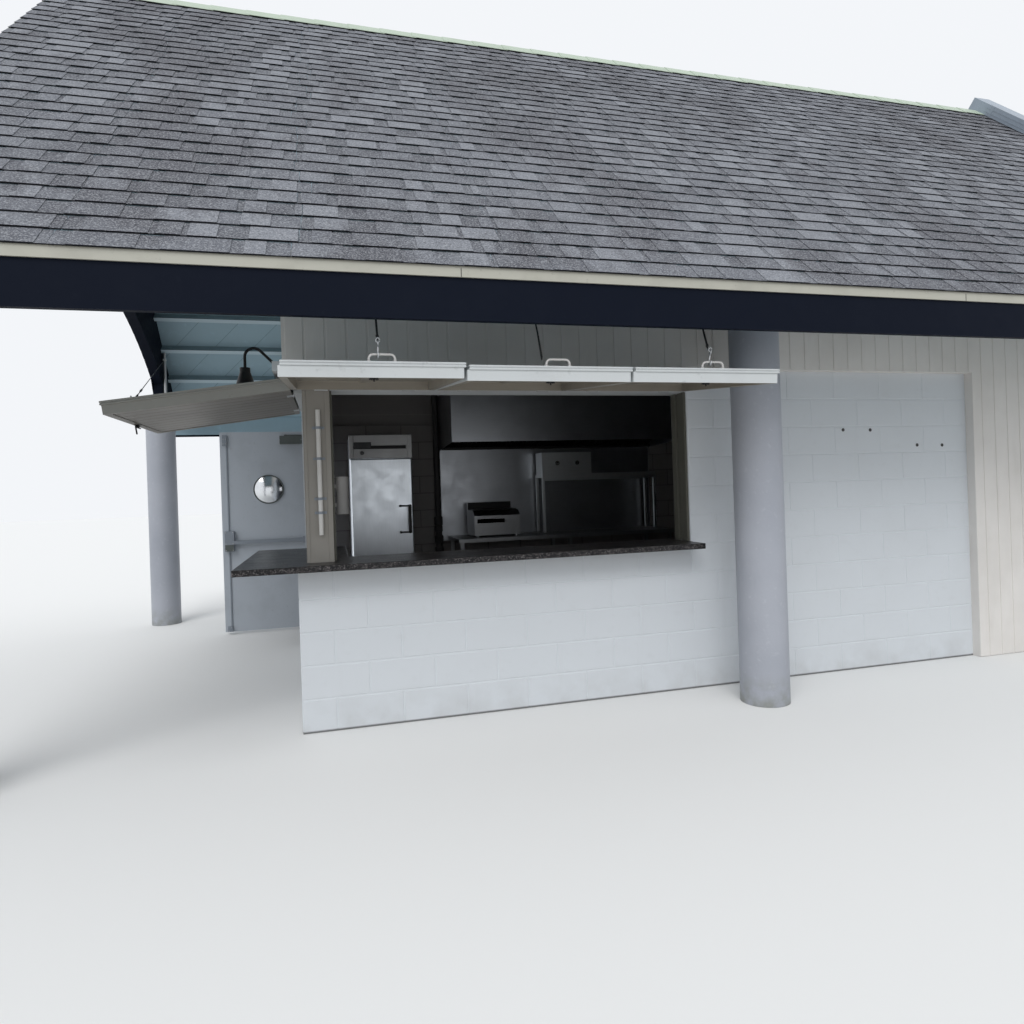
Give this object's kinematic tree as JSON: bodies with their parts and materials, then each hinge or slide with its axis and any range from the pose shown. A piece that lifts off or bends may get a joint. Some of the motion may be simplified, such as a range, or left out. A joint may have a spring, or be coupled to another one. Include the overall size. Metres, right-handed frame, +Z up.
{
  "type": "concession kiosk",
  "caption": "Roofed block kiosk with top-hung serving hatches, a wrap-round stone counter, a side door and a steep gable roof on round columns.",
  "frame": {"origin": "on the ground under the middle of the roof", "axes": "+X to the right along the front, +Y from the front to the back, +Z up"},
  "size_m": [9.741, 6.42, 5.8606],
  "materials": {
    "concrete": "rough",
    "painted_block": "matt paint on block",
    "painted_trim": "satin paint",
    "siding": "matt paint on grooved board",
    "granite": "polished",
    "column_paint": "satin paint",
    "navy_paint": "satin paint",
    "ceiling_paint": "matt paint",
    "shingle": "granular",
    "green_metal": "satin",
    "cream_trim": "satin",
    "coping_metal": "satin",
    "door_paint": "satin",
    "mirror_face": "polished",
    "hardware": "worn",
    "hatch_paint": "painted board",
    "cable": "galvanised",
    "black_paint": "satin",
    "white_plastic": "matt",
    "stainless": "brushed",
    "appliance": "satin"
  },
  "bodies": {
    "kiosk": {"floor_slab": "concrete", "front_sill_wall": "painted_block", "front_wall": "painted_block", "front_lintel": "painted_trim", "corner_post": "painted_trim", "side_sill_wall": "painted_block", "side_wall": "painted_block", "side_wall_rear": "painted_block", "side_lintel": "painted_trim", "door_head_wall": "painted_block", "back_wall": "painted_block", "right_wall": "painted_block", "ground_siding": "siding", "front_siding": "siding", "back_siding": "siding", "left_gable_siding": "siding", "right_gable_siding": "siding", "counter": "granite", "columns": "column_paint", "eave_beams": "navy_paint", "gable_arch": "navy_paint", "ridge_beam": "navy_paint", "purlins": "ceiling_paint", "roof_deck_front": "ceiling_paint", "roof_deck_back": "ceiling_paint", "shingles_front": "shingle", "shingles_back": "shingle", "ridge_cap": "green_metal", "fascias": "navy_paint", "drip_trims": "cream_trim", "rake_boards": "green_metal", "rake_coping": "coping_metal", "door_frame": "door_paint", "door_hinges": "hardware", "hatch_hinges": "hardware", "hatch_cables": "cable", "lamp_arm": "black_paint", "lamp_shade": "black_paint", "conduit": "white_plastic", "corner_boards": "siding", "side_ledge": "painted_trim", "fridge": "appliance", "extractor_hood": "stainless", "splash_back": "stainless", "work_table": "stainless", "over_shelf": "stainless", "control_box": "stainless", "griddle": "black_paint", "wall_pipe": "hardware", "cup_dispenser": "white_plastic"},
    "door": {"door_leaf": "door_paint", "door_mirror": "mirror_face", "panic_bar": "hardware", "door_closer": "black_paint"},
    "front_hatch_left": {"hatch_1": "hatch_paint"},
    "front_hatch_middle": {"hatch_2": "hatch_paint"},
    "front_hatch_right": {"hatch_3": "hatch_paint"},
    "side_flap": {"side_hatch": "hatch_paint"}
  },
  "joints": [
    {"name": "door_swing", "type": "hinge", "parent": "kiosk", "child": "door", "pos_m": [-3.0115, 1.442, 1], "axis": [0, 0, 1], "range_deg": [0, 90]},
    {"name": "front_hatch_left_hinge", "type": "hinge", "parent": "kiosk", "child": "front_hatch_left", "pos_m": [-2.5785, -2.016, 2.085], "axis": [1, 0, 0], "range_deg": [0, 84.8]},
    {"name": "front_hatch_middle_hinge", "type": "hinge", "parent": "kiosk", "child": "front_hatch_middle", "pos_m": [-1.6965, -2.016, 2.085], "axis": [1, 0, 0], "range_deg": [0, 84.2]},
    {"name": "front_hatch_right_hinge", "type": "hinge", "parent": "kiosk", "child": "front_hatch_right", "pos_m": [-0.8135, -2.016, 2.085], "axis": [1, 0, 0], "range_deg": [0, 84.2]},
    {"name": "side_flap_hinge", "type": "hinge", "parent": "kiosk", "child": "side_flap", "pos_m": [-3.0105, -1.373, 2.085], "axis": [0, -1, 0], "range_deg": [0, 82]}
  ]
}
